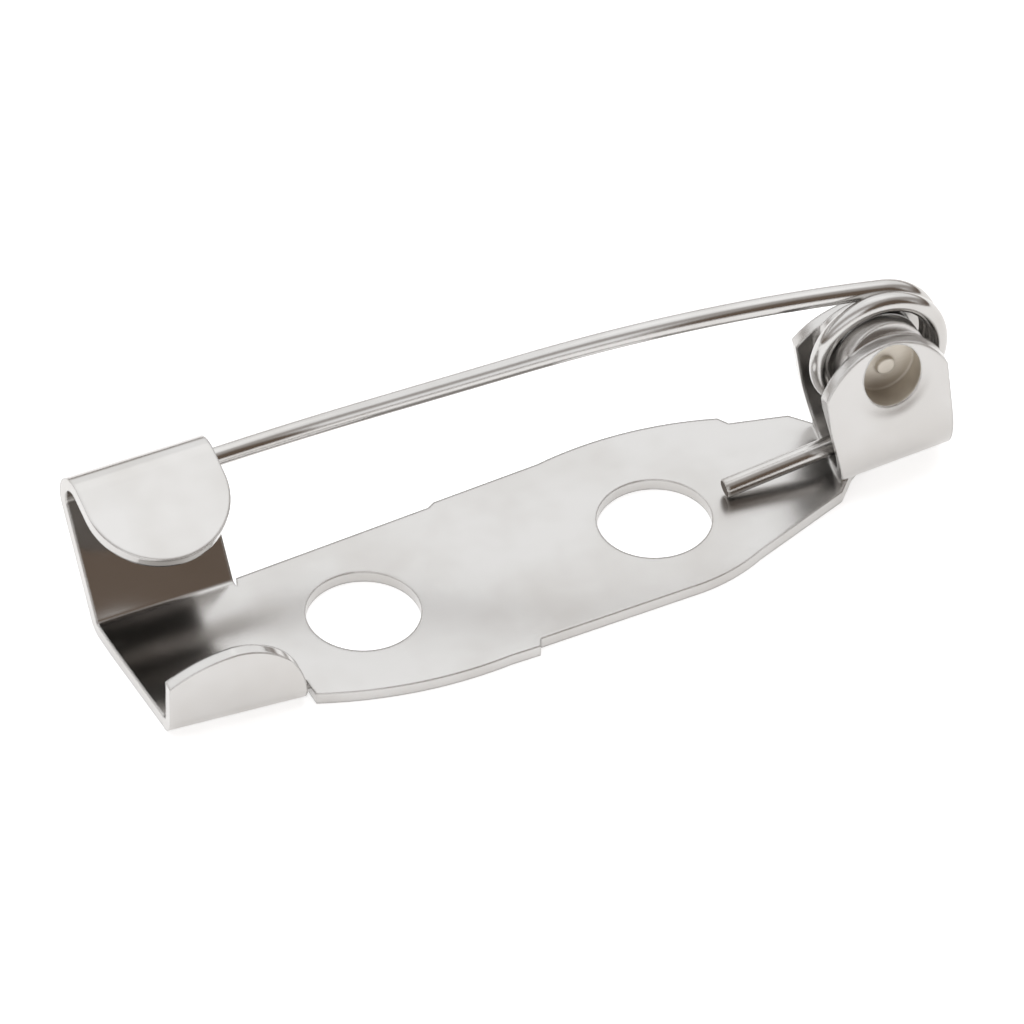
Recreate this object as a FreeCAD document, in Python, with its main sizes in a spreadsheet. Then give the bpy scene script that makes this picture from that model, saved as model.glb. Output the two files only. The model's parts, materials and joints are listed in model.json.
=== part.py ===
import FreeCAD, Part
import math
import os
import Sketcher

# A brooch pin finding: a folded sheet base with a catch, and a coiled wire pin hinged on two dimples.
# Millimetres. X runs from the catch to the hinge, Y to the back edge and Z up from the glue face.
# The origin is on the glue face, midway between the two holes.

doc = FreeCAD.newDocument("BroochPinFinding")
sheet = doc.addObject("Spreadsheet::Sheet", "Sizes")

LEAST_CUT = 0.001  # cubic millimetres that a cut must take off
FULL_TURN = 360
COIL_TURN = 540  # from a stem level over the coil to a tail level under it, both toward the catch

SIZES = [
    # alias, value, what it is
    ("sheet_thick", 0.30, "thickness of the sheet"),
    ("hole_size", 2.60, "diameter of the two round holes"),
    ("hole_space", 7.20, "distance between the two holes"),
    ("catch_end", -9.18, "place along X of the catch's free end"),
    ("catch_wide", 3.36, "width of the wall, roll and tongue along X"),
    ("crease_at", 2.05, "place along Y of the crease between plate and wall"),
    ("crease_bend", 0.30, "mid radius of the crease"),
    ("wall_turn", 55.65, "angle from the plate up to the wall"),
    ("wall_run", 2.69, "straight length of the wall"),
    ("roll_bend", 0.55, "mid radius of the roll over the pin"),
    ("roll_turn", 145.35, "angle that the roll turns through"),
    ("tongue_run", 2.28, "straight length of the tongue to its tip"),
    ("flap_start", -9.10, "place along X where the front flap's fold starts"),
    ("flap_fold", -1.22, "place along Y where the front flap's fold starts"),
    ("flap_skew", -4.9, "angle of the flap's fold to the X axis"),
    ("flap_long", 3.26, "length of the flap along its fold"),
    ("flap_bend", 0.35, "mid radius of the flap's fold"),
    ("flap_rise", 1.60, "straight height of the flap above its fold"),
    ("flap_low", 1.50, "height of the flap's catch end"),
    ("flap_high", 2.05, "height of the flap's crown"),
    ("flap_crown", 1.60, "distance of the crown from the flap's catch end"),
    ("flap_tail", 0.40, "height of the flap's hinge end"),
    ("flap_bend_low", 3.40, "radius of the flap's edge from its catch end to the crown"),
    ("flap_bend_high", 1.65, "radius of the flap's edge from the crown to its hinge end"),
    ("trim_room", 0.60, "room that a trimming cut leaves round the metal that it takes off"),
    ("root_run", 0.60, "length of a fold's root inside the plate"),
    ("pivot_x", 9.15, "place along X of the pin's hinge axis"),
    ("pivot_y", 0.32, "place along Y of the middle of the hinge"),
    ("pivot_high", 3.10, "height of the pin's hinge axis"),
    ("trough_bend", 1.28, "mid radius of the trough under the coil"),
    ("trough_turn", 104.0, "angle from the trough's bottom to the leaning ear"),
    ("ear_skew", 3.5, "angle by which each ear closes in toward the free end"),
    ("ear_run", 2.70, "straight length of an ear before it is cut round"),
    ("ear_near", 1.75, "length of the trough from the axis toward the catch"),
    ("ear_far", 1.69, "length of the trough from the axis to the free end"),
    ("ear_cut_skew", -8.0, "angle to the X axis of the ears' outline, seen from above"),
    ("ear_foot_near", -1.10, "place of the foot of the ears' near side, from the hinge axis"),
    ("ear_side_near", -1.58, "place of the top of the ears' near side, from the hinge axis"),
    ("ear_side_high", 2.90, "height where the ears' sides meet the round top"),
    ("ear_top_high", 3.87, "height of the ears"),
    ("ear_side_far", 1.53, "place of the top of the ears' far side, from the hinge axis"),
    ("ear_foot_far", 1.60, "place of the foot of the ears' far side, from the hinge axis"),
    ("ear_bend_near", 1.78, "radius of the ears' round top toward the catch"),
    ("ear_bend_far", 1.70, "radius of the ears' round top toward the free end"),
    ("dimple_size", 1.45, "diameter of the dimple pressed into each ear"),
    ("dimple_floor", 0.62, "distance of the dimple's floor from the hinge's middle"),
    ("nub_size", 0.45, "diameter of the nub in the dimple"),
    ("nub_high", 0.12, "height of the nub in the dimple"),
    ("boss_size", 2.10, "diameter of the boss behind the dimple, which carries the coil"),
    ("boss_tip", 0.15, "distance of the boss's tip from the hinge's middle"),
    ("wire_size", 0.45, "diameter of the pin's wire"),
    ("coil_bend", 1.42, "mid radius of the coil"),
    ("coil_pitch", 0.46, "advance of the coil in one turn"),
    ("coil_start", 0.34, "place along Y of the coil's stem end, from the hinge's middle"),
    ("coil_hang", 0.08, "distance by which the coil hangs below the axis of the bosses"),
    ("coil_pull", 0.11, "distance by which the coil is pulled past that axis, to the free end"),
    ("tail_fall", 30.0, "angle at which the tail drops out of the coil"),
    ("heel_bend", 2.00, "radius of the tail's bend toward the plate"),
    ("tail_slope", 7.0, "angle of the straight tail to the plate"),
    ("tail_skew", 0.5, "angle of the straight tail to the X axis, seen from above"),
    ("tail_end_x", 5.33, "place along X of the tail's end"),
    ("tail_rest", 0.256, "height of the tail's mid line above the plate at its end"),
    ("stem_rise", 11.0, "angle at which the stem rises out of the coil"),
    ("stem_bow", 17.4, "radius of the stem's bow near the coil"),
    ("stem_skew", 15.9, "angle of the straight stem to the X axis, seen from above"),
    ("stem_fall", 13.8, "angle of the straight stem to the plate"),
    ("stem_run", 3.55, "straight length of the stem after the bow"),
    ("tip_bow", 9.2, "radius of the stem's second bow, into the catch"),
    ("tip_skew", 0.0, "angle to the X axis of the tip, seen from above"),
    ("tip_fall", 0.6, "angle of the tip to the plate"),
    ("tip_run", 2.20, "straight length of the tip before its point"),
    ("point_run", 1.30, "length of the tapered point"),
    ("point_size", 0.16, "diameter of the wire at the tip of the point"),
]

# The plate's edge, anticlockwise from the catch's front corner. The back edge and the front edge
# each step where the two halves of the blank were cut a little out of line.
EDGE = [
    # corner, along X, along Y, radius of the arc to the next corner, or 0 for a straight edge
    ("end_front", -9.10, -1.22, 0),
    ("flap_foot", -5.85, -1.50, 0),
    ("notch_deep", -5.70, -1.52, 0),
    ("front_catch", -5.70, -2.02, 9.5),
    ("front_mid", -1.20, -2.72, 0),
    ("slip_catch", -0.50, -2.72, 0),
    ("slip_hinge", -0.38, -2.50, 0),
    ("front_lobe", 3.40, -2.40, 4.2),
    ("front_neck", 5.30, -1.96, 0),
    ("neck_front", 7.80, -1.00, 0),
    ("strip_front", 8.30, -0.45, 0),
    ("strip_tip_front", 9.15, 0.12, 0),
    ("strip_tip_back", 9.15, 0.52, 0),
    ("strip_back", 8.30, 1.25, 0),
    ("neck_back", 7.80, 1.83, 0),
    ("step_low", 6.48, 2.16, 0),
    ("step_high", 6.32, 2.42, 8.4),
    ("back_lobe", 2.00, 2.76, 0),
    ("slip_back_hinge", -0.65, 2.60, 0),
    ("slip_back_catch", -0.85, 2.49, 0),
    ("back_catch", -5.72, 2.20, 0),
    ("crease_hinge", -5.82, 1.95, 0),
    ("end_back", -9.18, 1.95, 0),
    ("end_root", -9.18, 1.45, 0),
]


def fill_sheet():
    """Writes each size to the sheet, under its alias."""
    rows = list(SIZES)
    for corner, along, across, bend in EDGE:
        rows.append((corner + "_x", along, "corner of the plate's edge, along X"))
        rows.append((corner + "_y", across, "corner of the plate's edge, along Y"))
        if bend:
            rows.append((corner + "_bend", bend, "radius of the edge after that corner"))
    for row, (alias, value, note) in enumerate(rows, start=1):
        sheet.set(f"A{row}", note)
        sheet.set(f"B{row}", str(value))
        sheet.setAlias(f"B{row}", alias)
    doc.recompute()


def size(alias):
    """The number in the cell with that alias."""
    return float(sheet.get(alias))


def origin_plane(body, role):
    """One of the body's own origin planes."""
    return next(plane for plane in body.Origin.OriginFeatures if plane.Role == role)


def turned_up(yaw):
    """The rotation of a sketch that stands upright, with its X axis turned by yaw about Z."""
    return FreeCAD.Rotation(yaw, 0, 90)


def new_sketch(body, name, base=(0, 0, 0), rotation=None):
    """A sketch carried from the body's XY plane to its place by its attachment offset."""
    sketch = body.newObject("Sketcher::SketchObject", name)
    sketch.AttachmentSupport = [(origin_plane(body, "XY_Plane"), "")]
    sketch.MapMode = "FlatFace"
    turn = rotation or FreeCAD.Rotation()
    sketch.AttachmentOffset = FreeCAD.Placement(FreeCAD.Vector(*base), turn)
    return sketch


def drive(sketch, expression, *constraint):
    """Adds a dimension whose value comes from the sheet."""
    index = sketch.addConstraint(Sketcher.Constraint(*constraint))
    sketch.setExpression(f"Constraints[{index}]", expression)


def pin_point(sketch, part, end, across, up):
    """Holds one end of a line or arc at two expressions, from the sketch's origin."""
    point = sketch.getPoint(part, end)
    drive(sketch, across, "DistanceX", -1, 1, part, end, point.x)
    drive(sketch, up, "DistanceY", -1, 1, part, end, point.y)


def flat(across, up):
    """A point of a sketch."""
    return FreeCAD.Vector(across, up, 0)


def arc_between(start, finish, bend):
    """The shorter arc of that radius from start to finish, bulging to the right of the way."""
    chord = finish - start
    half = chord.Length / 2
    rise = bend - math.sqrt(max(bend**2 - half**2, 0.0))
    outward = FreeCAD.Vector(chord.y, -chord.x, 0).normalize()
    return Part.Arc(start, (start + finish) * 0.5 + outward * rise, finish)


def draw_chain(sketch, corners):
    """Draws a closed edge through corners given as (X cell, Y cell, radius cell or none)."""
    points = [flat(evaluate(across), evaluate(up)) for across, up, _ in corners]
    count = len(corners)
    for index, (across, up, bend) in enumerate(corners):
        start, finish = points[index], points[(index + 1) % count]
        if bend:
            sketch.addGeometry(arc_between(start, finish, evaluate(bend)))
        else:
            sketch.addGeometry(Part.LineSegment(start, finish))
    for index, (across, up, bend) in enumerate(corners):
        before = (index - 1) % count
        sketch.addConstraint(Sketcher.Constraint("Coincident", before, 2, index, 1))
        pin_point(sketch, index, 1, across, up)
        if bend:
            drive(sketch, bend, "Radius", index, evaluate(bend))


def evaluate(expression):
    """The value of an expression on the sheet's cells."""
    return float(sheet.evalExpression(expression))


def draw_folds(sketch, across, up, folds):
    """Draws an open path of straight runs (length,) and left-hand bends (radius, turn)."""
    place = flat(evaluate(across), evaluate(up))
    heading = 0.0
    for index, fold in enumerate(folds):
        ahead = flat(math.cos(heading), math.sin(heading))
        if len(fold) == 1:
            onward = place + ahead * evaluate(fold[0])
            sketch.addGeometry(Part.LineSegment(place, onward))
            drive(sketch, fold[0], "Distance", index, evaluate(fold[0]))
        else:
            radius, turn = evaluate(fold[0]), math.radians(evaluate(fold[1]))
            centre = place + flat(-ahead.y, ahead.x) * radius
            circle = Part.Circle(centre, FreeCAD.Vector(0, 0, 1), radius)
            first_angle = heading - math.pi / 2
            sketch.addGeometry(Part.ArcOfCircle(circle, first_angle, first_angle + turn))
            drive(sketch, fold[0], "Radius", index, radius)
            drive(sketch, fold[1], "Angle", index, turn)
            heading += turn
            onward = centre + flat(math.sin(heading), -math.cos(heading)) * radius
        if index:
            sketch.addConstraint(Sketcher.Constraint("Tangent", index - 1, 2, index, 1))
        place = onward
    if len(folds[0]) == 1:
        sketch.addConstraint(Sketcher.Constraint("Horizontal", 0))
    else:
        sketch.addConstraint(Sketcher.Constraint("Vertical", 0, 1, 0, 3))
    pin_point(sketch, 0, 1, across, up)


def draw_circle(sketch, across, up, diameter):
    """Draws a circle."""
    centre = flat(evaluate(across), evaluate(up))
    radius = evaluate(diameter) / 2
    index = sketch.addGeometry(Part.Circle(centre, FreeCAD.Vector(0, 0, 1), radius))
    drive(sketch, f"{diameter} / 2", "Radius", index, radius)
    pin_point(sketch, index, 3, across, up)


def place_sketch(sketch, **expressions):
    """Binds the sketch's place to the sheet: base_x, base_y, base_z, yaw or roll."""
    paths = {
        "base_x": "AttachmentOffset.Base.x",
        "base_y": "AttachmentOffset.Base.y",
        "base_z": "AttachmentOffset.Base.z",
        "yaw": "AttachmentOffset.Rotation.Yaw",
        "roll": "AttachmentOffset.Rotation.Roll",
    }
    for name, expression in expressions.items():
        sketch.setExpression(paths[name], expression)
    doc.recompute()


def add_pad(body, name, sketch, length):
    """Extrudes a sketch along its normal by a length from the sheet."""
    pad = body.newObject("PartDesign::Pad", name)
    pad.Profile = sketch
    pad.setExpression("Length", length)
    doc.recompute()


def add_cut(body, name, sketch, length=None, reversed_way=False):
    """Cuts a sketch against its normal, along it, or without a length right through both ways."""
    before = body.Shape.Volume
    pocket = body.newObject("PartDesign::Pocket", name)
    pocket.Profile = sketch
    pocket.Reversed = reversed_way
    if length:
        pocket.setExpression("Length", length)
    else:
        pocket.Type = "ThroughAll"
        pocket.SideType = "Symmetric"
    doc.recompute()
    if pocket.Shape.Volume > before - LEAST_CUT:
        raise RuntimeError(f"{name} took nothing off")


def add_fold(body, name, path, profile):
    """Sweeps the sheet's section along a folded path."""
    pipe = body.newObject("PartDesign::AdditivePipe", name)
    pipe.Profile = profile
    pipe.Spine = path
    doc.recompute()


def add_plate(body):
    """The flat part of the sheet, with its two round holes."""
    sketch = new_sketch(body, "PlateOutline")
    corners = [
        (f"Sizes.{name}_x", f"Sizes.{name}_y", f"Sizes.{name}_bend" if bend else None)
        for name, _, _, bend in EDGE
    ]
    draw_chain(sketch, corners)
    for side in (-1, 1):
        draw_circle(sketch, f"{side} * Sizes.hole_space / 2", "0", "Sizes.hole_size")
    add_pad(body, "Plate", sketch, "Sizes.sheet_thick")


def draw_strip(sketch, start, finish):
    """Draws the section of the sheet, from start to finish along the fold."""
    draw_chain(
        sketch,
        [
            (start, "0", None),
            (finish, "0", None),
            (finish, "Sizes.sheet_thick", None),
            (start, "Sizes.sheet_thick", None),
        ],
    )


def add_catch(body):
    """The wall at the back edge, rolled forward over the pin's tip and ending in a tongue."""
    root = "Sizes.crease_at - Sizes.root_run"
    path = new_sketch(body, "CatchPath", rotation=turned_up(90))
    draw_folds(
        path,
        root,
        "Sizes.sheet_thick / 2",
        [
            ("Sizes.root_run",),
            ("Sizes.crease_bend", "Sizes.wall_turn"),
            ("Sizes.wall_run",),
            ("Sizes.roll_bend", "Sizes.roll_turn"),
            ("Sizes.tongue_run",),
        ],
    )
    profile = new_sketch(body, "CatchSection", rotation=turned_up(0))
    draw_strip(profile, "Sizes.catch_end", "Sizes.catch_end + Sizes.catch_wide")
    place_sketch(profile, base_y=root)
    add_fold(body, "Catch", path, profile)


def round_tongue(body):
    """Cuts the tongue's end to a half circle."""
    slope = "(Sizes.wall_turn + Sizes.roll_turn - 180)"
    wall = "Sizes.wall_turn"
    roll_y = (
        f"Sizes.crease_at + Sizes.crease_bend * sin({wall})"
        f" + Sizes.wall_run * cos({wall}) - Sizes.roll_bend * sin({wall})"
    )
    roll_z = (
        f"Sizes.sheet_thick / 2 + Sizes.crease_bend * (1 - cos({wall}))"
        f" + Sizes.wall_run * sin({wall}) + Sizes.roll_bend * cos({wall})"
    )
    outer = "(Sizes.roll_bend + Sizes.sheet_thick / 2)"
    half = "Sizes.catch_wide / 2"
    far = "Sizes.catch_end + Sizes.catch_wide"
    shoulder = f"{half} - Sizes.tongue_run"
    sketch = new_sketch(body, "TongueEnd", rotation=FreeCAD.Rotation(0, 0, evaluate(slope)))
    draw_chain(
        sketch,
        [
            ("Sizes.catch_end", shoulder, half),
            (f"Sizes.catch_end + {half}", "-Sizes.tongue_run", half),
            (far, shoulder, None),
            (f"{far} + Sizes.trim_room", shoulder, None),
            (f"{far} + Sizes.trim_room", "-Sizes.tongue_run - Sizes.trim_room", None),
            ("Sizes.catch_end - Sizes.trim_room", "-Sizes.tongue_run - Sizes.trim_room", None),
            ("Sizes.catch_end - Sizes.trim_room", shoulder, None),
        ],
    )
    place_sketch(
        sketch,
        base_y=f"{roll_y} - {outer} * sin({slope})",
        base_z=f"{roll_z} + {outer} * cos({slope})",
        roll=slope,
    )
    add_cut(body, "TongueTrim", sketch, "Sizes.trim_room")


def add_flap(body):
    """The low flap at the front edge, below the tongue, with its rounded top."""
    skew = "Sizes.flap_skew"
    path = new_sketch(body, "FlapPath", rotation=turned_up(evaluate(skew) - 90))
    draw_folds(
        path,
        "-Sizes.root_run",
        "Sizes.sheet_thick / 2",
        [
            ("Sizes.root_run",),
            ("Sizes.flap_bend", "90"),
            ("Sizes.flap_rise",),
        ],
    )
    place_sketch(path, base_x="Sizes.flap_start", base_y="Sizes.flap_fold", yaw=f"{skew} - 90")
    profile = new_sketch(body, "FlapSection", rotation=turned_up(evaluate(skew)))
    draw_strip(profile, "0", "Sizes.flap_long")
    place_sketch(
        profile,
        base_x=f"Sizes.flap_start - Sizes.root_run * sin({skew})",
        base_y=f"Sizes.flap_fold + Sizes.root_run * cos({skew})",
        yaw=skew,
    )
    add_fold(body, "Flap", path, profile)

    trim = new_sketch(body, "FlapTop", rotation=turned_up(evaluate(skew)))
    top = "Sizes.flap_high + Sizes.trim_room"
    draw_chain(
        trim,
        [
            ("Sizes.flap_long", "Sizes.flap_tail", "Sizes.flap_bend_high"),
            ("Sizes.flap_crown", "Sizes.flap_high", "Sizes.flap_bend_low"),
            ("0", "Sizes.flap_low", None),
            ("-Sizes.trim_room", "Sizes.flap_low", None),
            ("-Sizes.trim_room", top, None),
            ("Sizes.flap_long + Sizes.trim_room", top, None),
            ("Sizes.flap_long + Sizes.trim_room", "Sizes.flap_tail", None),
        ],
    )
    out = "(Sizes.flap_bend + Sizes.trim_room)"
    place_sketch(
        trim,
        base_x=f"Sizes.flap_start + {out} * sin({skew})",
        base_y=f"Sizes.flap_fold - {out} * cos({skew})",
        yaw=skew,
    )
    add_cut(body, "FlapTrim", trim, out)


def add_ears(body):
    """The two ears that carry the coil, folded up out of one round-bottomed trough."""
    for name, side in (("Front", 1), ("Back", -1)):
        skew = f"{side} * Sizes.ear_skew"
        path_yaw = f"{side} * (Sizes.ear_skew - 90)"
        path = new_sketch(body, f"{name}EarPath", rotation=turned_up(evaluate(path_yaw)))
        draw_folds(
            path,
            "0",
            "Sizes.sheet_thick / 2",
            [("Sizes.trough_bend", "Sizes.trough_turn"), ("Sizes.ear_run",)],
        )
        place_sketch(path, base_x="Sizes.pivot_x", base_y="Sizes.pivot_y", yaw=path_yaw)
        profile = new_sketch(body, f"{name}EarSection", rotation=turned_up(evaluate(skew)))
        draw_strip(profile, "-Sizes.ear_near", "Sizes.ear_far")
        place_sketch(profile, base_x="Sizes.pivot_x", base_y="Sizes.pivot_y", yaw=skew)
        add_fold(body, f"{name}Ear", path, profile)


def round_ears(body):
    """Cuts both ears to their slanted sides and round top."""
    skew = "Sizes.ear_cut_skew"
    sketch = new_sketch(body, "EarOutline", rotation=turned_up(evaluate(skew)))
    near = "Sizes.ear_side_near - Sizes.trim_room"
    far = "Sizes.ear_foot_far + Sizes.trim_room"
    top = "Sizes.ear_top_high + Sizes.trim_room"
    draw_chain(
        sketch,
        [
            ("Sizes.ear_foot_far", "0", None),
            ("Sizes.ear_side_far", "Sizes.ear_side_high", "Sizes.ear_bend_far"),
            ("0", "Sizes.ear_top_high", "Sizes.ear_bend_near"),
            ("Sizes.ear_side_near", "Sizes.ear_side_high", None),
            ("Sizes.ear_foot_near", "Sizes.sheet_thick", None),
            (near, "Sizes.sheet_thick", None),
            (near, top, None),
            (far, top, None),
            (far, "0", None),
        ],
    )
    place_sketch(sketch, base_x="Sizes.pivot_x", base_y="Sizes.pivot_y", yaw=skew)
    add_cut(body, "EarTrim", sketch)


def add_dimples(body):
    """A boss inside each ear, which carries the coil, and the pressed dimple outside it."""
    for name, side in (("Front", -1), ("Back", 1)):
        yaw = 0 if side < 0 else 180
        sketches = []
        for what, size_cell, off_middle in (
            ("Boss", "boss_size", "boss_tip"),
            ("Dimple", "dimple_size", "dimple_floor"),
            ("Nub", "nub_size", "dimple_floor"),
        ):
            sketch = new_sketch(body, f"{name}{what}Circle", rotation=turned_up(yaw))
            draw_circle(sketch, f"{-side} * Sizes.pivot_x", "Sizes.pivot_high", f"Sizes.{size_cell}")
            place_sketch(sketch, base_y=f"Sizes.pivot_y + {side} * Sizes.{off_middle}")
            sketches.append(sketch)
        boss = body.newObject("PartDesign::Pad", f"{name}Boss")
        boss.Profile = sketches[0]
        boss.Type = "UpToFirst"
        doc.recompute()
        add_cut(body, f"{name}Dimple", sketches[1], "Sizes.dimple_floor + Sizes.trim_room", True)
        add_pad(body, f"{name}Nub", sketches[2], "Sizes.nub_high")


def make_base_plate():
    """The folded sheet: plate, catch, front flap, and the two ears that carry the coil."""
    body = doc.addObject("PartDesign::Body", "base_plate")
    body.Label = "base_plate"
    add_plate(body)
    add_catch(body)
    round_tongue(body)
    add_flap(body)
    add_ears(body)
    round_ears(body)
    add_dimples(body)
    return body


def heading_of(skew, fall):
    """The direction toward the catch with that angle to the X axis and that fall."""
    turn, drop = math.radians(skew), math.radians(fall)
    level = math.cos(drop)
    return FreeCAD.Vector(-level * math.cos(turn), level * math.sin(turn), -math.sin(drop))


def axes_to_rotation(first, second):
    """The rotation that takes X to the first direction and Y to the second, square to it."""
    return FreeCAD.Rotation(first, second, first.cross(second), "XYZ")


def add_straight(name, start, ahead, run):
    """A straight length of wire. Gives the piece and the place where it ends."""
    rod = doc.addObject("Part::Cylinder", name)
    rod.setExpression("Radius", "Sizes.wire_size / 2")
    rod.setExpression("Height", run)
    rod.Placement = FreeCAD.Placement(start, FreeCAD.Rotation(FreeCAD.Vector(0, 0, 1), ahead))
    return rod, start + ahead * evaluate(run)


def add_bend(name, start, ahead, onward, radius):
    """A bend of wire from one direction to the next. Gives the piece and where it ends."""
    axis = ahead.cross(onward).normalize()
    inward = axis.cross(ahead)
    centre = start + inward * evaluate(radius)
    turn = ahead.getAngle(onward)
    bend = doc.addObject("Part::Torus", name)
    bend.setExpression("Radius1", radius)
    bend.setExpression("Radius2", "Sizes.wire_size / 2")
    bend.Angle3 = math.degrees(turn)
    bend.Placement = FreeCAD.Placement(centre, axes_to_rotation(inward * -1, ahead))
    finish = centre + (ahead * math.sin(turn) - inward * math.cos(turn)) * evaluate(radius)
    return bend, finish


def heel_distance(leave, down, level):
    """How far the tail drops before its bend, so that its end rests just above the plate."""
    end_high = size("sheet_thick") + size("tail_rest")
    steep, gentle = -down.z / -down.x, -level.z / -level.x
    rise = leave.z - end_high - gentle * (leave.x - size("tail_end_x"))
    to_corner = rise / (steep - gentle) / -down.x
    return to_corner - size("heel_bend") * math.tan(down.getAngle(level) / 2)


def make_pin_wire():
    """The pin: a coil round the two bosses, a bowed stem with a point, and a short tail."""
    lead = math.degrees(math.atan2(size("coil_pitch"), 2 * math.pi * size("coil_bend")))
    turns = (COIL_TURN - size("stem_rise") - size("tail_fall")) / FULL_TURN
    back = size("pivot_y") + size("coil_start")
    pulled = size("pivot_x") + size("coil_pull")
    pivot = FreeCAD.Vector(pulled, back, size("pivot_high") - size("coil_hang"))
    along_wire = FreeCAD.Vector(0, 0, 1)
    over_top = FreeCAD.Rotation(FreeCAD.Vector(0, 1, 0), size("stem_rise"))
    upright = over_top.multVec(FreeCAD.Vector(0, 0, 1))
    toward_catch = over_top.multVec(FreeCAD.Vector(-1, 0, 0))

    line = doc.addObject("Part::Helix", "CoilLine")
    line.setExpression("Radius", "Sizes.coil_bend")
    line.setExpression("Pitch", "Sizes.coil_pitch")
    line.Height = size("coil_pitch") * turns
    line.LocalCoord = "Left-handed"
    line.Placement = FreeCAD.Placement(pivot, axes_to_rotation(upright, toward_catch))
    start = pivot + upright * size("coil_bend")
    outward = heading_of(lead, -size("stem_rise"))

    section = doc.addObject("Part::Circle", "CoilSection")
    section.setExpression("Radius", "Sizes.wire_size / 2")
    section.Placement = FreeCAD.Placement(start, FreeCAD.Rotation(along_wire, outward * -1))
    doc.recompute()
    coil = doc.addObject("Part::Sweep", "Coil")
    coil.Sections = [section]
    coil.Spine = (line, [f"Edge{index + 1}" for index in range(len(line.Shape.Edges))])
    coil.Solid = True
    coil.Frenet = True

    middle = heading_of(size("stem_skew"), size("stem_fall"))
    last = heading_of(size("tip_skew"), size("tip_fall"))
    bow, place = add_bend("StemBow", start, outward, middle, "Sizes.stem_bow")
    stem, place = add_straight("Stem", place, middle, "Sizes.stem_run")
    tip_bow, place = add_bend("TipBow", place, middle, last, "Sizes.tip_bow")
    tip, place = add_straight("Tip", place, last, "Sizes.tip_run")
    point = doc.addObject("Part::Cone", "Point")
    point.setExpression("Radius1", "Sizes.wire_size / 2")
    point.setExpression("Radius2", "Sizes.point_size / 2")
    point.setExpression("Height", "Sizes.point_run")
    point.Placement = FreeCAD.Placement(place, FreeCAD.Rotation(along_wire, last))

    dropping = math.radians(size("tail_fall"))
    rim = FreeCAD.Vector(math.sin(dropping), 0, -math.cos(dropping)) * size("coil_bend")
    leave = pivot + rim - FreeCAD.Vector(0, size("coil_pitch") * turns, 0)
    down = heading_of(-lead, size("tail_fall"))
    level = heading_of(size("tail_skew"), size("tail_slope"))
    drop_run = heel_distance(leave, down, level)
    drop, place = add_straight("TailDrop", leave, down, str(drop_run))
    heel, place = add_bend("Heel", place, down, level, "Sizes.heel_bend")
    tail, _ = add_straight("Tail", place, level, str((place.x - size("tail_end_x")) / -level.x))

    pin = doc.addObject("Part::MultiFuse", "pin_wire")
    pin.Shapes = [coil, bow, stem, tip_bow, tip, point, drop, heel, tail]
    pin.Label = "pin_wire"
    doc.recompute()
    return pin


def write_parts(parts):
    """Checks every object, then writes each sub-part's solid under its label."""
    for thing in doc.Objects:
        if "Invalid" in thing.State or "Error" in thing.State:
            raise RuntimeError(f"{thing.Name} failed: {thing.State}")
    for part in parts:
        shape = part.Shape
        if shape.isNull() or not shape.isValid() or len(shape.Solids) != 1:
            raise RuntimeError(f"{part.Label} isn't one valid solid")
    os.makedirs("parts", exist_ok=True)
    for part in parts:
        part.Shape.exportStep(f"parts/{part.Label}.step")
        print(part.Label, "volume", round(part.Shape.Volume, 2), "mm3")


fill_sheet()
write_parts([make_base_plate(), make_pin_wire()])
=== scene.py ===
import json
import math

import bmesh
import bpy
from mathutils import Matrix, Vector
from mathutils.kdtree import KDTree

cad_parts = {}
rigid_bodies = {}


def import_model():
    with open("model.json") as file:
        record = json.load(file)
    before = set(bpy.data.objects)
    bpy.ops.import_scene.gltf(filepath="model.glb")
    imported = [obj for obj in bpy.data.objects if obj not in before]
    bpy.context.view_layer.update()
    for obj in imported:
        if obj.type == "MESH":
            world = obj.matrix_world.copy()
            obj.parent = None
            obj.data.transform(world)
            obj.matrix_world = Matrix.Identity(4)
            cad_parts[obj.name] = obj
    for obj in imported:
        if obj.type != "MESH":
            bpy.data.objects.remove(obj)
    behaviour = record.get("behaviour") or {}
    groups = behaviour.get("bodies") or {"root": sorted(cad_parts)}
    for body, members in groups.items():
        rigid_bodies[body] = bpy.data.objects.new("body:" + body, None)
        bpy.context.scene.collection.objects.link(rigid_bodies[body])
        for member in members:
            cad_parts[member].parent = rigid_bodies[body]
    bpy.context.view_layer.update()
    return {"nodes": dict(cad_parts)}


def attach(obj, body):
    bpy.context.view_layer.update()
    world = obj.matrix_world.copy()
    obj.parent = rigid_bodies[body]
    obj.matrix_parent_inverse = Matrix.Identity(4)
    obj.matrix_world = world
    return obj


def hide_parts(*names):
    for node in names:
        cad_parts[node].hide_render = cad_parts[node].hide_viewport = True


# A brooch pin finding in bright nickel plate: a folded sheet base and a coiled spring-wire pin.

bl_info = {
    "name": "Brooch Pin Finding",
    "version": (1, 0, 0),
    "blender": (4, 5, 0),
    "location": "View3D > Sidebar > Brooch Pin",
    "description": "Dresses a folded brooch pin finding in bright nickel plate",
    "category": "Object",
}

for leftover in list(bpy.data.objects):
    bpy.data.objects.remove(leftover)

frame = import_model()
MM = 0.001

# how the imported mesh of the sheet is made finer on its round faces: how near two points are one, how
# near a point is on a face, how often edges are halved and a new point is slid into place
WELD = 0.0001 * MM
ON_FACE = 0.002 * MM
ROUND_PASSES = 2
SLIDES = 4

# cosines from which a face counts as looking away from an axis, an edge as running along an axis, and
# an axis as crossing a flat face
LOOKS_OUT, RUNS_ALONG, CROSSES = 0.9, 0.9999, 0.1

# the fold from which an edge stays sharp
SHARP_EDGE = math.radians(28)

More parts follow.
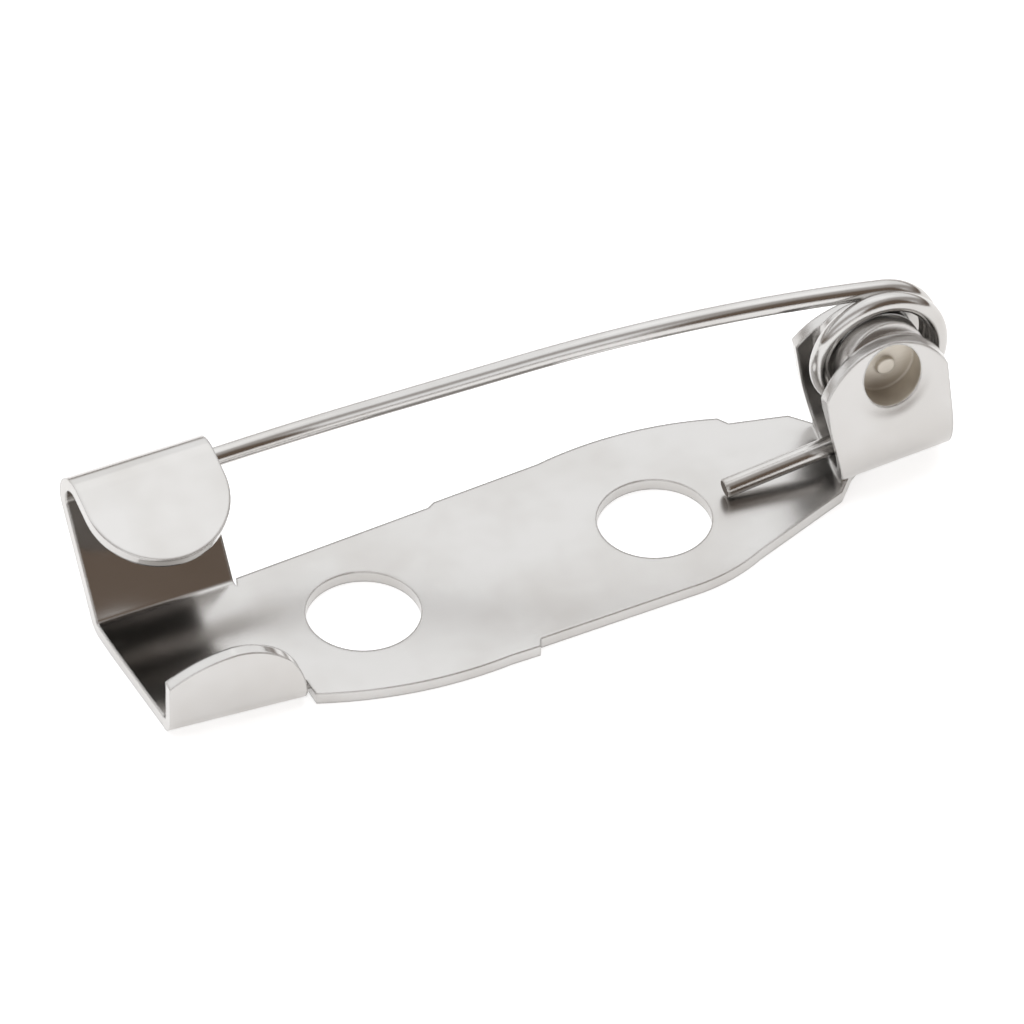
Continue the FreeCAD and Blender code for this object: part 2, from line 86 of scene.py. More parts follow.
# the round faces of the folded sheet: a point on the axis in millimetres, its direction, the radius
ROUND_FACES = (
    # the catch: inside and outside of the crease, inside and outside of the roll, and the tongue's end
    ((-7.5, 2.05, 0.45), (1, 0, 0), 0.15),
    ((-7.5, 2.05, 0.45), (1, 0, 0), 0.45),
    ((-7.5, 3.3614, 2.8119), (1, 0, 0), 0.4),
    ((-7.5, 3.3614, 2.8119), (1, 0, 0), 0.7),
    ((-7.5, 2.6042, 3.1104), (0, 0.358368, -0.93358), 1.68),
    # the front flap: its fold's inside and outside, and the two arcs of its top
    ((-7.4773, -1.3591, 0.5), (0.996345, -0.085417, 0), 0.2),
    ((-7.4765, -1.3592, 0.5), (0.996345, -0.085417, 0), 0.5),
    ((-7.2662, -1.7285, -1.3392), (0.085417, 0.996345, 0), 3.4),
    ((-7.5258, -1.706, 0.4), (0.085417, 0.996345, 0), 1.65),
    # the plate: its two holes and the three curved stretches of its outline
    ((-3.6, 0, 0.15), (0, 0, 1), 1.3),
    ((3.6, 0, 0.15), (0, 0, 1), 1.3),
    ((-2.0323, 6.7435, 0.15), (0, 0, 1), 9.5),
    ((3.4283, 1.7999, 0.15), (0, 0, 1), 4.2),
    ((3.5232, -5.5007, 0.15), (0, 0, 1), 8.4),
    # the trough and ears: both sides of both bends, then the two arcs of the ears' top
    ((9.1708, 0.3213, 1.43), (0.998135, 0.061049, 0), 1.13),
    ((9.2087, 0.3236, 1.43), (0.998135, 0.061049, 0), 1.43),
    ((9.3906, 0.3053, 1.43), (0.998135, -0.061049, 0), 1.13),
    ((9.5036, 0.2984, 1.43), (0.998135, -0.061049, 0), 1.43),
    ((9.2563, 1.0404, 2.09), (0.139173, 0.990268, 0), 1.78),
    ((9.2652, 1.1775, 2.17), (0.139173, 0.990268, 0), 1.7),
    # the dimple, the boss behind it and the nub in it
    ((9.15, -0.5395, 3.1), (0, 1, 0), 0.725),
    ((9.15, -0.1602, 3.1), (0, 1, 0), 1.05),
    ((9.15, -0.36, 3.1), (0, 1, 0), 0.225),
)

# the wire's mid line, in millimetres and degrees, as the construction has it
PIVOT = Vector((9.15, 0.32, 3.10))
WIRE_RADIUS = 0.225
COIL_RADIUS, COIL_PITCH, COIL_START, COIL_TURN = 1.42, 0.46, 0.34, 540
COIL_HANG, COIL_PULL = 0.08, 0.11
STEM_RISE, STEM_BOW, STEM_SKEW, STEM_FALL, STEM_RUN = 11.0, 17.4, 15.9, 13.8, 3.55
TIP_BOW, TIP_SKEW, TIP_FALL, TIP_RUN = 9.2, 0.0, 0.6, 2.20
POINT_RUN, POINT_RADIUS = 1.30, 0.08
TAIL_FALL, HEEL_BEND, TAIL_SLOPE, TAIL_SKEW = 30.0, 2.0, 7.0, 0.5
TAIL_END_X, TAIL_END_HIGH = 5.33, 0.556

# how finely the wire is made: its sides, the steps of coil and bends, and the rounding of its cut ends
WIRE_SIDES = 40
COIL_STEP = math.radians(3)
BEND_STEPS = 24
CUT_ROUND = 0.03

# the dimples: their radius, and a distance from the hinge's middle just short of their floor
DIMPLE_RADIUS = 0.73
DIMPLE_FLOOR = 0.6

# how much rougher the satin of the plate is, and where along X the bright catch turns to it
PLATE_SATIN = 0.11
SATIN_FROM, SATIN_TO = -6.6 * MM, -4.8 * MM

# where the sheet's sinking toward a dimple ends and starts, from the dimple's middle
DRAWN_FROM, DRAWN_TO = 0.66 * MM, 1.12 * MM

# the plating's cloudy patches, 330 to the metre or about 3 mm across, and where in them the dull tone
# starts and is full
CLOUDS = {"Scale": 330.0, "Detail": 3.0, "Roughness": 0.6}
CLOUD_FROM, CLOUD_TO = 0.42, 0.72

# the fine lines in the metal: their pattern, how many there are to the metre along X, across it and
# up, which makes them 1 mm long and 0.04 mm apart on the sheet, and their depth and strength
LINES = {"Scale": 1.0, "Detail": 4.0, "Roughness": 0.7}
SHEET_GRAIN = (1000.0, 24000.0, 24000.0)
WIRE_GRAIN = (1500.0, 20000.0, 20000.0)
LINE_DEPTH, LINE_STRENGTH = 0.002 * MM, 0.10

# the least and the most roughness that the lines give, as parts of a finish's own
GLOSS_LEAST, GLOSS_MOST = 0.8, 1.4

# how rough the matte finishes are: the darker plate in the dimples and the bare cut steel, then the
# floor
MATTE_METAL, MATTE_FLOOR = 0.5, 0.9

# how many looks the rounded edges take at the metal round them
BEVEL_SAMPLES = 6

# the photograph's view: the camera's angles, the width that the picture spans, and the lens
VIEW_AZIMUTH = math.radians(-25.2)
VIEW_ELEVATION = math.radians(42.4)
PICTURE_WIDTH = 22.94 * MM
CAMERA_DISTANCE = 620 * MM
CAMERA_CLIP = 10 * MM
SENSOR = 36.0
AIM = Vector((0.461, 0.829, 1.037)) * MM

# the floor: half its width, how far it lies under the finding, and how brightly it glows
FLOOR_HALF = 1500 * MM
FLOOR_GAP = 0.01 * MM
FLOOR_GLOW = 0.62

# the studio as the metal mirrors it: white all round, with a darker rim low down, a grey gap that
# runs from side to side high in front, and the unlit room in front on the right. Each has a place
# where it is full, one where it ends, and the share of darkness that it brings.
STUDIO_STRENGTH = 1.32
RIM_FULL, RIM_END, RIM_DEPTH = 0.08, 0.34, 0.80
GAP_HEIGHT = math.radians(63)
GAP_FULL, GAP_END, GAP_DEPTH = 11, 22, 0.65
ROOM_WAY = Vector((0.36, -0.86, 0.36))
ROOM_FULL, ROOM_END, ROOM_DEPTH = 21, 33, 0.96

# the lamp: the way to it from the finding, its width and depth, its distance and its power
SOFTBOX_WAY = Vector((0.31, 0.35, 0.88))
SOFTBOX_WIDE, SOFTBOX_DEEP, SOFTBOX_FAR, SOFTBOX_WATTS = 450 * MM, 350 * MM, 600 * MM, 0.09


def linear(value):
    """One sRGB channel from 0 to 1 as the linear value that Blender's nodes use."""
    return value / 12.92 if value <= 0.04045 else ((value + 0.055) / 1.055) ** 2.4


def colour(hex_code):
    """A colour written as sRGB hex, as a linear colour with alpha."""
    channels = [int(hex_code[start:start + 2], 16) / 255 for start in (0, 2, 4)]
    return (*[linear(channel) for channel in channels], 1.0)


def add_node(tree, kind, settings=None, inputs=None, links=None):
    """Adds a node, sets its properties and sockets, and links sockets of earlier nodes to it."""
    node = tree.nodes.new(kind)
    for name, value in (settings or {}).items():
        setattr(node, name, value)
    for socket, value in (inputs or {}).items():
        node.inputs[socket].default_value = value
    for socket, source in (links or {}).items():
        tree.links.new(source, node.inputs[socket])
    return node


class BroochPinSizes(bpy.types.PropertyGroup):
    """Sizes of the fine shapes that the looks add."""

    edge_round: bpy.props.FloatProperty(
        name="Edge rounding",
        description="Radius that shearing and plating leave on the sheet's edges",
        default=0.10 * MM,
        unit="LENGTH",
        precision=6,
    )
    plate_wave: bpy.props.FloatProperty(
        name="Plate wave",
        description="Height of the slow waves that pressing leaves in the sheet",
        default=0.003 * MM,
        unit="LENGTH",
        precision=6,
    )
    dimple_draw: bpy.props.FloatProperty(
        name="Draw round the dimples",
        description="Depth by which the sheet sinks toward each dimple",
        default=0.05 * MM,
        unit="LENGTH",
        precision=6,
    )
    wire_wave: bpy.props.FloatProperty(
        name="Wire wave",
        description="Height of the slow unevenness of the drawn wire",
        default=0.001 * MM,
        unit="LENGTH",
        precision=6,
    )


class BroochPinColours(bpy.types.PropertyGroup):
    """Colours of the finishes and of the studio."""

    nickel: bpy.props.FloatVectorProperty(
        name="Nickel plate",
        description="Bright nickel plate",
        subtype="COLOR",
        size=4,
        default=colour("C8C6C4"),
    )
    nickel_dull: bpy.props.FloatVectorProperty(
        name="Dull nickel",
        description="Nickel where the sheet was pressed and the plate is thin",
        subtype="COLOR",
        size=4,
        default=colour("ABA6A0"),
    )
    dimple: bpy.props.FloatVectorProperty(
        name="Dimple",
        description="Dull plate in the dimples of the ears",
        subtype="COLOR",
        size=4,
        default=colour("DAD4CA"),
    )
    dimple_dark: bpy.props.FloatVectorProperty(
        name="Dimple, darker",
        description="Darkest plate in the dimples of the ears",
        subtype="COLOR",
        size=4,
        default=colour("A79E92"),
    )
    cut_steel: bpy.props.FloatVectorProperty(
        name="Cut steel",
        description="Bare steel where the wire was cut off",
        subtype="COLOR",
        size=4,
        default=colour("8A8178"),
    )
    cut_dark: bpy.props.FloatVectorProperty(
        name="Cut steel, darker",
        description="Darkest bare steel where the wire was cut off",
        subtype="COLOR",
        size=4,
        default=colour("554C45"),
    )
    studio: bpy.props.FloatVectorProperty(
        name="Studio",
        description="The lit white surroundings",
        subtype="COLOR",
        size=4,
        default=colour("FAFBFC"),
    )
    studio_dark: bpy.props.FloatVectorProperty(
        name="Unlit room",
        description="The unlit room that the metal mirrors",
        subtype="COLOR",
        size=4,
        default=colour("5C4C3E"),
    )
    floor: bpy.props.FloatVectorProperty(
        name="Floor",
        description="Plain white studio floor",
        subtype="COLOR",
        size=4,
        default=colour("FCFCFC"),
    )
    floor_shade: bpy.props.FloatVectorProperty(
        name="Floor under light",
        description="How much of the lamps' light the floor gives back",
        subtype="COLOR",
        size=4,
        default=colour("E6E6E6"),
    )


def add_satin(tree, place, roughness, satin):
    """Turns the bright catch to the satin that pressing leaves on the plate, over its first stretch."""
    along = add_node(tree, "ShaderNodeSeparateXYZ", links={"Vector": place})
    share = add_node(
        tree,
        "ShaderNodeMapRange",
        settings={"interpolation_type": "SMOOTHSTEP"},
        inputs={"From Min": SATIN_FROM, "From Max": SATIN_TO, "To Min": 0.0, "To Max": satin},
        links={"Value": along.outputs["X"]},
    )
    total = add_node(
        tree,
        "ShaderNodeMath",
        settings={"operation": "ADD"},
        links={0: roughness, 1: share.outputs["Result"]},
    )
    return total.outputs["Value"]


def draw_in(tree, place, normal, depth):
    """The sheet drawn in round the dimples, as the punch leaves it."""
    flat = add_node(
        tree,
        "ShaderNodeVectorMath",
        settings={"operation": "MULTIPLY"},
        inputs={1: (1, 0, 1)},
        links={0: place},
    )
    away = add_node(
        tree,
        "ShaderNodeVectorMath",
        settings={"operation": "DISTANCE"},
        inputs={1: (PIVOT.x * MM, 0, PIVOT.z * MM)},
        links={0: flat.outputs["Vector"]},
    )
    height = add_node(
        tree,
        "ShaderNodeMapRange",
        settings={"interpolation_type": "SMOOTHSTEP"},
        inputs={"From Min": DRAWN_FROM, "From Max": DRAWN_TO, "To Min": 0.0, "To Max": 1.0},
        links={"Value": away.outputs["Value"]},
    )
    dip = add_node(
        tree,
        "ShaderNodeBump",
        inputs={"Strength": 1.0, "Distance": depth},
        links={"Height": height.outputs["Result"], "Normal": normal},
    )
    return dip.outputs["Normal"]


def fine_lines(tree, place, grain):
    """The lines that rolling or drawing leaves, long along the metal and close across it."""
    stretch = add_node(
        tree,
        "ShaderNodeMapping",
        inputs={"Scale": grain},
        links={"Vector": place},
    )
    lines = add_node(
        tree,
        "ShaderNodeTexNoise",
        inputs=LINES,
        links={"Vector": stretch.outputs["Vector"]},
    )
    return lines.outputs["Fac"]


def plate_colour(tree, clouds, look):
    """The bright tone, with the dull one in the patches."""
    tone = add_node(
        tree,
        "ShaderNodeMapRange",
        inputs={
            "From Min": CLOUD_FROM,
            "From Max": CLOUD_TO,
            "To Min": 0.0,
            "To Max": look["cloudy"],
        },
        links={"Value": clouds},
    )
    base = add_node(
        tree,
        "ShaderNodeMix",
        settings={"data_type": "RGBA"},
        inputs={"A": look["bright"], "B": look["dull"]},
        links={"Factor": tone.outputs["Result"]},
    )
    return base.outputs["Result"]


def plate_roughness(tree, place, lines, look):
    """The roughness, a little more or less from line to line, and more on the satin plate."""
    gloss = add_node(
        tree,
        "ShaderNodeMapRange",
        inputs={"To Min": look["gloss"] * GLOSS_LEAST, "To Max": look["gloss"] * GLOSS_MOST},
        links={"Value": lines},
    )
    roughness = gloss.outputs["Result"]
    if look["satin"]:
        roughness = add_satin(tree, place, roughness, look["satin"])
    return roughness


def plate_surface(tree, place, clouds, lines, look):
    """The way the surface faces: edges rounded by shearing and plating, slow waves and fine lines."""
    rounded = add_node(
        tree,
        "ShaderNodeBevel",
        settings={"samples": BEVEL_SAMPLES},
        inputs={"Radius": look["edge"]},
    )
    waves = add_node(
        tree,
        "ShaderNodeBump",
        inputs={"Strength": 1.0, "Distance": look["wave"]},
        links={"Height": clouds, "Normal": rounded.outputs["Normal"]},
    )
    normal = waves.outputs["Normal"]
    if look["drawn"]:
        normal = draw_in(tree, place, normal, look["drawn"])
    fine = add_node(
        tree,
        "ShaderNodeBump",
        inputs={"Strength": LINE_STRENGTH, "Distance": LINE_DEPTH},
        links={"Height": lines, "Normal": normal},
    )
    return fine.outputs["Normal"]


def make_nickel(name, look):
    """Nickel plate over steel: it mirrors the studio softly, brightest where it is least worn."""
    material = bpy.data.materials.new(name)
    material.use_nodes = True
    tree = material.node_tree
    tree.nodes.clear()
    place = add_node(tree, "ShaderNodeTexCoord").outputs["Object"]
    # patches where the bath laid the plate down thinner
    patches = add_node(tree, "ShaderNodeTexNoise", inputs=CLOUDS, links={"Vector": place})
    clouds = patches.outputs["Fac"]
    lines = fine_lines(tree, place, look["grain"])
    shader = add_node(
        tree,
        "ShaderNodeBsdfPrincipled",
        inputs={"Metallic": 1.0},
        links={
            "Base Color": plate_colour(tree, clouds, look),
            "Roughness": plate_roughness(tree, place, lines, look),
            "Normal": plate_surface(tree, place, clouds, lines, look),
        },
    )
    add_node(
        tree,
        "ShaderNodeOutputMaterial",
        links={"Surface": shader.outputs["BSDF"]},
    )
    return material


def round_face_of(face):
    """The row of ROUND_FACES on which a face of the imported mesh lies, or None for a flat face."""
    middle = face.calc_center_median()
    for row, (point, axis, radius) in enumerate(ROUND_FACES):
        point, axis, radius = Vector(point) * MM, Vector(axis), radius * MM
        out = middle - point
        out -= axis * out.dot(axis)
        if out.length < radius / 2 or abs(face.normal.dot(out.normalized())) < LOOKS_OUT:
            continue
        arms = [corner.co - point for corner in face.verts]
        if all(abs((arm - axis * arm.dot(axis)).length - radius) < ON_FACE for arm in arms):
            return row
    return None


def onto_round(place, row):
    """The nearest point of a round face."""
    point, axis, radius = ROUND_FACES[row]
    point, axis = Vector(point) * MM, Vector(axis)
    arm = place - point
    along = axis * arm.dot(axis)
    return point + along + (arm - along).normalized() * radius * MM


def rounded_middle(edge, rows):
    """An edge's middle, and that point slid onto the round faces and flat ones that meet there."""
    middle = (edge.verts[0].co + edge.verts[1].co) / 2
    flats = [face for face in edge.link_faces if rows[face] is None]
    place = middle.copy()
    for _ in range(SLIDES):
        for row in {rows[face] for face in edge.link_faces} - {None}:
            place = onto_round(place, row)
            axis = Vector(ROUND_FACES[row][1])
            for face in flats:
                slope = axis.dot(face.normal)
                if abs(slope) > CROSSES:
                    place += axis * (middle - place).dot(face.normal) / slope
    return middle, place


def round_off(shape):
    """Halves the edges on the round faces and moves the new points onto them."""
    rows = {face: round_face_of(face) for face in shape.faces}
    moves = {}
    for edge in shape.edges:
        on = {rows[face] for face in edge.link_faces} - {None}
        run = (edge.verts[1].co - edge.verts[0].co).normalized()
        if on and all(abs(run.dot(Vector(ROUND_FACES[row][1]))) < RUNS_ALONG for row in on):
            moves[edge] = rounded_middle(edge, rows)
    places = list(moves.values())
    middles = KDTree(len(places))
    for index, (middle, _) in enumerate(places):
        middles.insert(middle, index)
    middles.balance()
    made = bmesh.ops.subdivide_edges(shape, edges=list(moves), cuts=1)
    for corner in made["geom_inner"]:
        if isinstance(corner, bmesh.types.BMVert):
            _, index, gap = middles.find(corner.co)
            if gap < WELD:
                corner.co = places[index][1]
    bmesh.ops.triangulate(shape, faces=shape.faces)
    shape.normal_update()


def show(name, mesh):
    """Puts a finished mesh into the scene, smooth but for its sharp edges."""
    piece = bpy.data.objects.new(name, mesh)
    bpy.context.scene.collection.objects.link(piece)
    mesh.shade_smooth()
    mesh.set_sharp_from_angle(angle=SHARP_EDGE)
    even = piece.modifiers.new("Even flats", "WEIGHTED_NORMAL")
    even.keep_sharp = True
    return piece


def finer_sheet(name):
    """A finer copy of the folded sheet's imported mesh, with its round faces made truly round."""
    shape = bmesh.new()
    shape.from_mesh(frame["nodes"]["base_plate"].data)
    bmesh.ops.remove_doubles(shape, verts=shape.verts, dist=WELD)
    for _ in range(ROUND_PASSES):
        round_off(shape)
    shape.verts.index_update()
    corners = [corner.co.copy() for corner in shape.verts]
    faces = [[corner.index for corner in face.verts] for face in shape.faces]
    shape.free()
    mesh = bpy.data.meshes.new(name)
    mesh.from_pydata(corners, [], faces)
    return show(name, mesh)


def in_dimple(place):
    """Whether a point of the sheet lies on the floor, nub or wall of one of the ears' dimples."""
    away = place / MM - PIVOT
    return math.hypot(away.x, away.z) < DIMPLE_RADIUS and DIMPLE_FLOOR < abs(away.y)


def heading_of(skew, fall):
    """The direction toward the catch with that angle to the X axis and that fall, in degrees."""
    turn, drop = math.radians(skew), math.radians(fall)
    level = math.cos(drop)
    return Vector((-level * math.cos(turn), level * math.sin(turn), -math.sin(drop)))


def bend_line(start, ahead, onward, radius):
    """The points of a bend from one direction to the next, without its start."""
    axis = ahead.cross(onward).normalized()
    inward = axis.cross(ahead)
    centre = start + inward * radius
    turn = ahead.angle(onward)
    angles = [turn * step / BEND_STEPS for step in range(1, BEND_STEPS + 1)]
    return [centre + (ahead * math.sin(a) - inward * math.cos(a)) * radius for a in angles]


def coil_line():
    """The coil's mid line, from the stem's start to the tail's."""
    turns = math.radians(COIL_TURN - STEM_RISE - TAIL_FALL)
    pivot = PIVOT + Vector((COIL_PULL, COIL_START, -COIL_HANG))
    rise = math.radians(STEM_RISE)
    upright = Vector((math.sin(rise), 0, math.cos(rise)))
    away = Vector((math.cos(rise), 0, -math.sin(rise)))
    advance = Vector((0, -COIL_PITCH / (2 * math.pi), 0))
    steps = math.ceil(turns / COIL_STEP)
    coil = []
    for step in range(steps + 1):
        turn = turns * step / steps
        arm = upright * math.cos(turn) + away * math.sin(turn)
        coil.append(pivot + arm * COIL_RADIUS + advance * turn)
    return coil


def tail_line(start, lead):
    """The tail's mid line from the coil to its end, then the direction in which it ends."""
    down, level = heading_of(-lead, TAIL_FALL), heading_of(TAIL_SKEW, TAIL_SLOPE)
    steep, gentle = down.z / down.x, level.z / level.x
    fall = start.z - TAIL_END_HIGH - gentle * (start.x - TAIL_END_X)
    drop = fall / (steep - gentle) / -down.x - HEEL_BEND * math.tan(down.angle(level) / 2)
    heel_start = start + down * drop
    heel = [heel_start, *bend_line(heel_start, down, level, HEEL_BEND)]
    tail_end = heel[-1] + level * ((heel[-1].x - TAIL_END_X) / -level.x)
    return [*heel, tail_end], level


def stem_line(start, lead):
    """The stem's mid line from the coil to the start of its point, then the point's direction."""
    middle, last = heading_of(STEM_SKEW, STEM_FALL), heading_of(TIP_SKEW, TIP_FALL)
    bow = bend_line(start, heading_of(lead, -STEM_RISE), middle, STEM_BOW)
    tip_start = bow[-1] + middle * STEM_RUN
    tip = [tip_start, *bend_line(tip_start, middle, last, TIP_BOW)]
    return [*bow, *tip, tip[-1] + last * TIP_RUN], last


def wire_line():
    """The wire's mid line from the tail's end to the point, as (place, radius) in millimetres."""
    lead = math.degrees(math.atan2(COIL_PITCH, 2 * math.pi * COIL_RADIUS))
    coil = coil_line()
    tail, tail_way = tail_line(coil[-1], lead)
    stem, point_way = stem_line(coil[0], lead)
    tail_end, point_start = tail.pop(), stem[-1]
    return [
        (tail_end, WIRE_RADIUS - CUT_ROUND),
        (tail_end - tail_way * CUT_ROUND, WIRE_RADIUS),
        *[(place, WIRE_RADIUS) for place in (*reversed(tail), *reversed(coil), *stem)],
        (point_start + point_way * (POINT_RUN - CUT_ROUND), POINT_RADIUS),
        (point_start + point_way * POINT_RUN, POINT_RADIUS - CUT_ROUND),
    ]


def finer_wire(name):
    """The pin's wire as a round, evenly turned tube along its mid line, with its ends closed."""
    line = wire_line()
    places = [place for place, _ in line]
    corners, faces = [], []
    ahead = (places[1] - places[0]).normalized()
    side = ahead.orthogonal().normalized()
    for index, (place, radius) in enumerate(line):
        before, after = places[max(index - 1, 0)], places[min(index + 1, len(places) - 1)]
        onward = (after - before).normalized()
        side = (ahead.rotation_difference(onward) @ side).normalized()
        side = (side - onward * side.dot(onward)).normalized()
        ahead = onward
        up = ahead.cross(side)
        for spoke in range(WIRE_SIDES):
            turn = 2 * math.pi * spoke / WIRE_SIDES
            corners.append((place + (side * math.cos(turn) + up * math.sin(turn)) * radius) * MM)
    last = (len(line) - 1) * WIRE_SIDES
    for low in range(0, last, WIRE_SIDES):
        high = low + WIRE_SIDES
        for spoke in range(WIRE_SIDES):
            beside = (spoke + 1) % WIRE_SIDES
            faces.append((low + spoke, low + beside, high + beside, high + spoke))
    faces.append(tuple(reversed(range(WIRE_SIDES))))
    faces.append(tuple(range(last, last + WIRE_SIDES)))
    mesh = bpy.data.meshes.new(name)
    mesh.from_pydata(corners, [], faces)
    return show(name, mesh)


def on_cut_end(face):
    """Whether a face closes an end of the wire: only there has it a corner for each of its sides."""
    return len(face.vertices) == WIRE_SIDES


class OBJECT_OT_brooch_base(bpy.types.Operator):
    """Dresses the folded sheet: plate, catch, front flap and ears"""

    bl_idname = "object.brooch_base"
    bl_label = "Folded base"

    def execute(self, context):
        sizes, colours = context.scene.brooch_sizes, context.scene.brooch_colours
        piece = finer_sheet("folded_base")
        look = {
            "bright": colours.nickel,
            "dull": colours.nickel_dull,
            "cloudy": 0.35,
            "gloss": 0.13,
            "grain": SHEET_GRAIN,
            "edge": sizes.edge_round,
            "wave": sizes.plate_wave,
            "drawn": sizes.dimple_draw,
            "satin": PLATE_SATIN,
        }
        # the pressed sheet: a bright catch that mirrors sharply, and a plate with a soft satin sheen
        piece.data.materials.append(make_nickel("Nickel plate on pressed sheet", look))
        # the dimples: a darker, rougher, patchy plate on their floor, nub and walls
        dimple_look = {**look, "bright": colours.dimple, "dull": colours.dimple_dark}
        dimple_look.update(cloudy=1.0, gloss=MATTE_METAL, drawn=0, satin=0)
        piece.data.materials.append(make_nickel("Darker rougher plate in the dimples", dimple_look))
        for face in piece.data.polygons:
            if in_dimple(face.center):
                face.material_index = 1
        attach(piece, "base")
        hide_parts("base_plate")
        return {"FINISHED"}


class OBJECT_OT_brooch_pin(bpy.types.Operator):
    """Dresses the spring-wire pin with its coil, point and tail"""

    bl_idname = "object.brooch_pin"
    bl_label = "Spring-wire pin"

    def execute(self, context):
        sizes, colours = context.scene.brooch_sizes, context.scene.brooch_colours
        piece = finer_wire("spring_pin")
        look = {
            "bright": colours.nickel,
            "dull": colours.nickel_dull,
            "cloudy": 0.5,
            "gloss": 0.10,
            "grain": WIRE_GRAIN,
            "edge": sizes.edge_round,
            "wave": sizes.wire_wave,
            "drawn": 0,
            "satin": 0,
        }
        # the drawn wire: the brightest metal here, with thin dark lines along both its sides
        piece.data.materials.append(make_nickel("Nickel plate on drawn wire", look))
        # the cut ends: the cutter bares the steel, so they read as small dark, matte discs
        cut = {**look, "bright": colours.cut_steel, "dull": colours.cut_dark}
        cut.update(cloudy=1.0, gloss=MATTE_METAL)
        piece.data.materials.append(make_nickel("Bare steel on the wire's cut ends", cut))
        for face in piece.data.polygons:
            if on_cut_end(face):
                face.material_index = 1
        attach(piece, "pin")
        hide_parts("pin_wire")
        return {"FINISHED"}


class OBJECT_OT_brooch_stage(bpy.types.Operator):
    """Lays the floor and sets the light and the camera"""

    bl_idname = "object.brooch_stage"
    bl_label = "Stage"

    def execute(self, context):
        lay_floor(context.scene.brooch_colours)
        set_surroundings(context.scene)
        set_lights()
        set_camera(context.scene)
        return {"FINISHED"}


class VIEW3D_PT_brooch(bpy.types.Panel):
    """The brooch pin's pieces, sizes and colours"""

    bl_idname = "VIEW3D_PT_brooch"
    bl_label = "Brooch pin"
    bl_space_type = "VIEW_3D"
    bl_region_type = "UI"
    bl_category = "Brooch Pin"

    def draw(self, context):
        layout = self.layout
        for group in (context.scene.brooch_sizes, context.scene.brooch_colours):
            for name in group.__annotations__:
                layout.prop(group, name)
        for operator in OPERATORS:
            layout.operator(operator.bl_idname)


def toward(azimuth, elevation):
    """The direction out from the object at an azimuth from the front and an elevation."""
    level = math.cos(elevation)
    return Vector((math.sin(azimuth) * level, -math.cos(azimuth) * level, math.sin(elevation)))


def lay_floor(colours):
    """A plain white floor, lit up to the white of a product picture."""
    material = bpy.data.materials.new("White sweep")
    material.use_nodes = True
    shader = material.node_tree.nodes["Principled BSDF"]
    shader.inputs["Base Color"].default_value = colours.floor_shade
    shader.inputs["Roughness"].default_value = MATTE_FLOOR
    shader.inputs["Specular IOR Level"].default_value = 0.0
    shader.inputs["Emission Color"].default_value = colours.floor
    shader.inputs["Emission Strength"].default_value = FLOOR_GLOW
    mesh = bpy.data.meshes.new("floor")
    half = FLOOR_HALF
    corners = [(-half, -half, 0), (half, -half, 0), (half, half, 0), (-half, half, 0)]
    mesh.from_pydata([(x, y, z - FLOOR_GAP) for x, y, z in corners], [], [(0, 1, 2, 3)])
    mesh.materials.append(material)
    floor = bpy.data.objects.new("floor", mesh)
    bpy.context.scene.collection.objects.link(floor)


def sine(degrees):
    """The sine of an angle in degrees."""
    return math.sin(math.radians(degrees))


def cosine(degrees):
    """The cosine of an angle in degrees."""
    return math.cos(math.radians(degrees))


def lean_of(tree, way, toward_what):
    """How far the way looked in leans toward a direction, from -1 to 1."""
    lean = add_node(
        tree,
        "ShaderNodeVectorMath",
        settings={"operation": "DOT_PRODUCT"},
        inputs={1: toward_what},
        links={0: way},
    )
    return lean.outputs["Value"]


def set_surroundings(scene):
    """A white studio with a darker rim, a grey gap and an unlit room, for the metal to mirror."""
    colours = scene.brooch_colours
    world = bpy.data.worlds.new("Studio")
    world.use_nodes = True
    tree = world.node_tree
    tree.nodes.clear()
    place = add_node(tree, "ShaderNodeTexCoord")
    way = place.outputs["Generated"]
    height = add_node(tree, "ShaderNodeSeparateXYZ", links={"Vector": way}).outputs["Z"]
    across = Vector((0, math.sin(GAP_HEIGHT), math.cos(GAP_HEIGHT)))
    off_gap = add_node(
        tree,
        "ShaderNodeMath",
        settings={"operation": "ABSOLUTE"},
        links={0: lean_of(tree, way, across)},
    )
    darkness = (
        (height, RIM_FULL, RIM_END, RIM_DEPTH),
        (off_gap.outputs["Value"], sine(GAP_FULL), sine(GAP_END), GAP_DEPTH),
        (lean_of(tree, way, ROOM_WAY.normalized()), cosine(ROOM_FULL), cosine(ROOM_END), ROOM_DEPTH),
    )
    tone = None
    for source, full, end, depth in darkness:
        amount = add_node(
            tree,
            "ShaderNodeMapRange",
            settings={"interpolation_type": "SMOOTHSTEP"},
            inputs={"From Min": end, "From Max": full, "To Min": 0.0, "To Max": depth},
            links={"Value": source},
        )
        shade = add_node(
            tree,
            "ShaderNodeMix",
            settings={"data_type": "RGBA"},
            inputs={"A": colours.studio, "B": colours.studio_dark},
            links={"Factor": amount.outputs["Result"]},
        )
        if tone:
            tree.links.new(tone, shade.inputs["A"])
        tone = shade.outputs["Result"]
    light = add_node(
        tree,
        "ShaderNodeBackground",
        inputs={"Strength": STUDIO_STRENGTH},
        links={"Color": tone},
    )
    add_node(tree, "ShaderNodeOutputWorld", links={"Surface": light.outputs["Background"]})
    scene.world = world


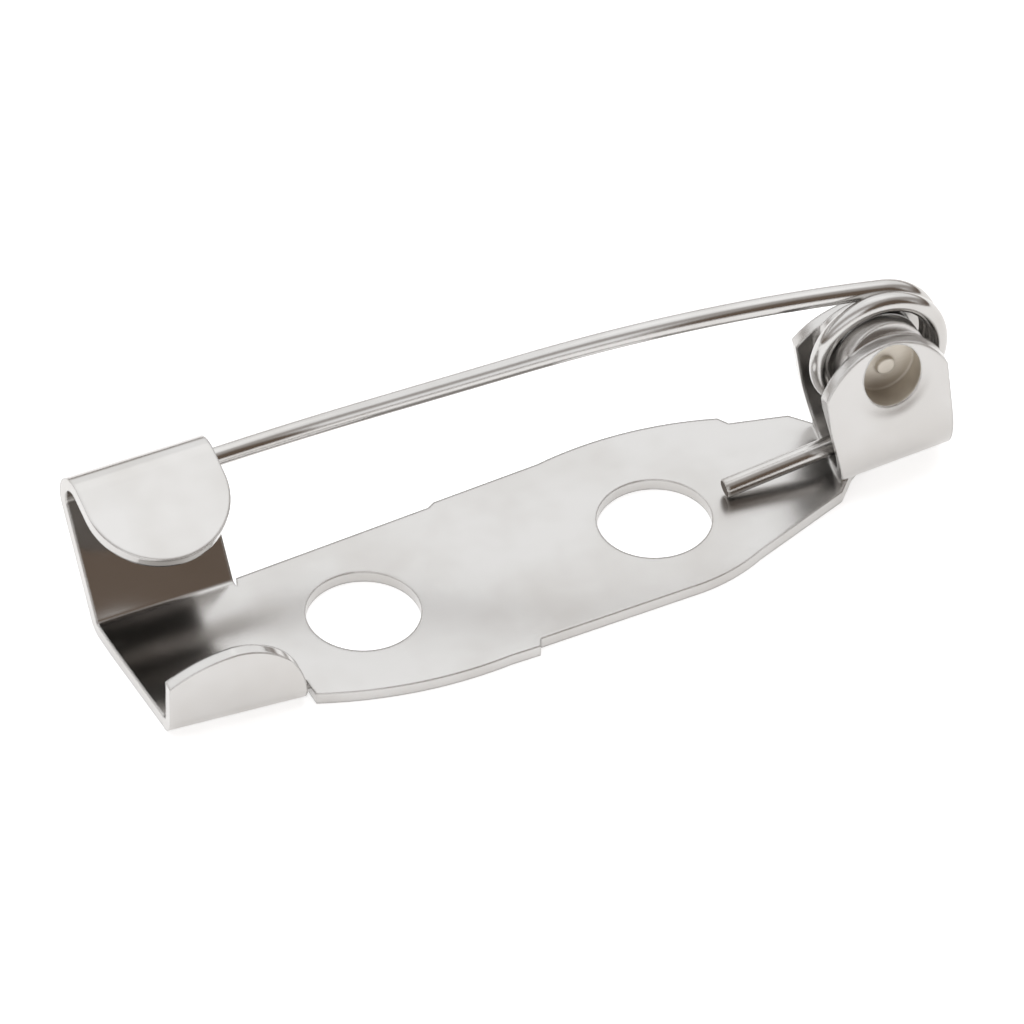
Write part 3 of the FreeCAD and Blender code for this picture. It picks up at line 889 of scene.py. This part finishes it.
def set_lights():
    """One broad soft light overhead, a little behind."""
    lamp = bpy.data.lights.new("Overhead softbox", "AREA")
    lamp.shape = "RECTANGLE"
    lamp.size, lamp.size_y = SOFTBOX_WIDE, SOFTBOX_DEEP
    lamp.energy = SOFTBOX_WATTS
    holder = bpy.data.objects.new("Overhead softbox", lamp)
    holder.location = SOFTBOX_WAY.normalized() * SOFTBOX_FAR
    holder.rotation_euler = SOFTBOX_WAY.to_track_quat("Z", "Y").to_euler()
    bpy.context.scene.collection.objects.link(holder)


def set_camera(scene):
    """A long lens at the photograph's angle, framed round the finding."""
    lens = bpy.data.cameras.new("Camera")
    lens.sensor_width = SENSOR
    lens.lens = SENSOR * CAMERA_DISTANCE / PICTURE_WIDTH
    lens.clip_start = CAMERA_CLIP
    camera = bpy.data.objects.new("Camera", lens)
    out = toward(VIEW_AZIMUTH, VIEW_ELEVATION)
    camera.location = AIM + out * CAMERA_DISTANCE
    camera.rotation_euler = out.to_track_quat("Z", "Y").to_euler()
    scene.collection.objects.link(camera)
    scene.camera = camera
    scene.view_settings.view_transform = "Standard"


GROUPS = (BroochPinSizes, BroochPinColours)
OPERATORS = (OBJECT_OT_brooch_base, OBJECT_OT_brooch_pin, OBJECT_OT_brooch_stage)


def register():
    """Makes the panel, its operators and its values known to Blender."""
    for part in (*GROUPS, *OPERATORS, VIEW3D_PT_brooch):
        bpy.utils.register_class(part)
    bpy.types.Scene.brooch_sizes = bpy.props.PointerProperty(type=BroochPinSizes)
    bpy.types.Scene.brooch_colours = bpy.props.PointerProperty(type=BroochPinColours)


def unregister():
    """Takes them out of Blender again."""
    del bpy.types.Scene.brooch_sizes
    del bpy.types.Scene.brooch_colours
    for part in reversed((*GROUPS, *OPERATORS, VIEW3D_PT_brooch)):
        bpy.utils.unregister_class(part)


def main():
    """Registers the classes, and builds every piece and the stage."""
    register()
    bpy.ops.object.brooch_base()
    bpy.ops.object.brooch_pin()
    bpy.ops.object.brooch_stage()


if __name__ == "__main__":
    main()
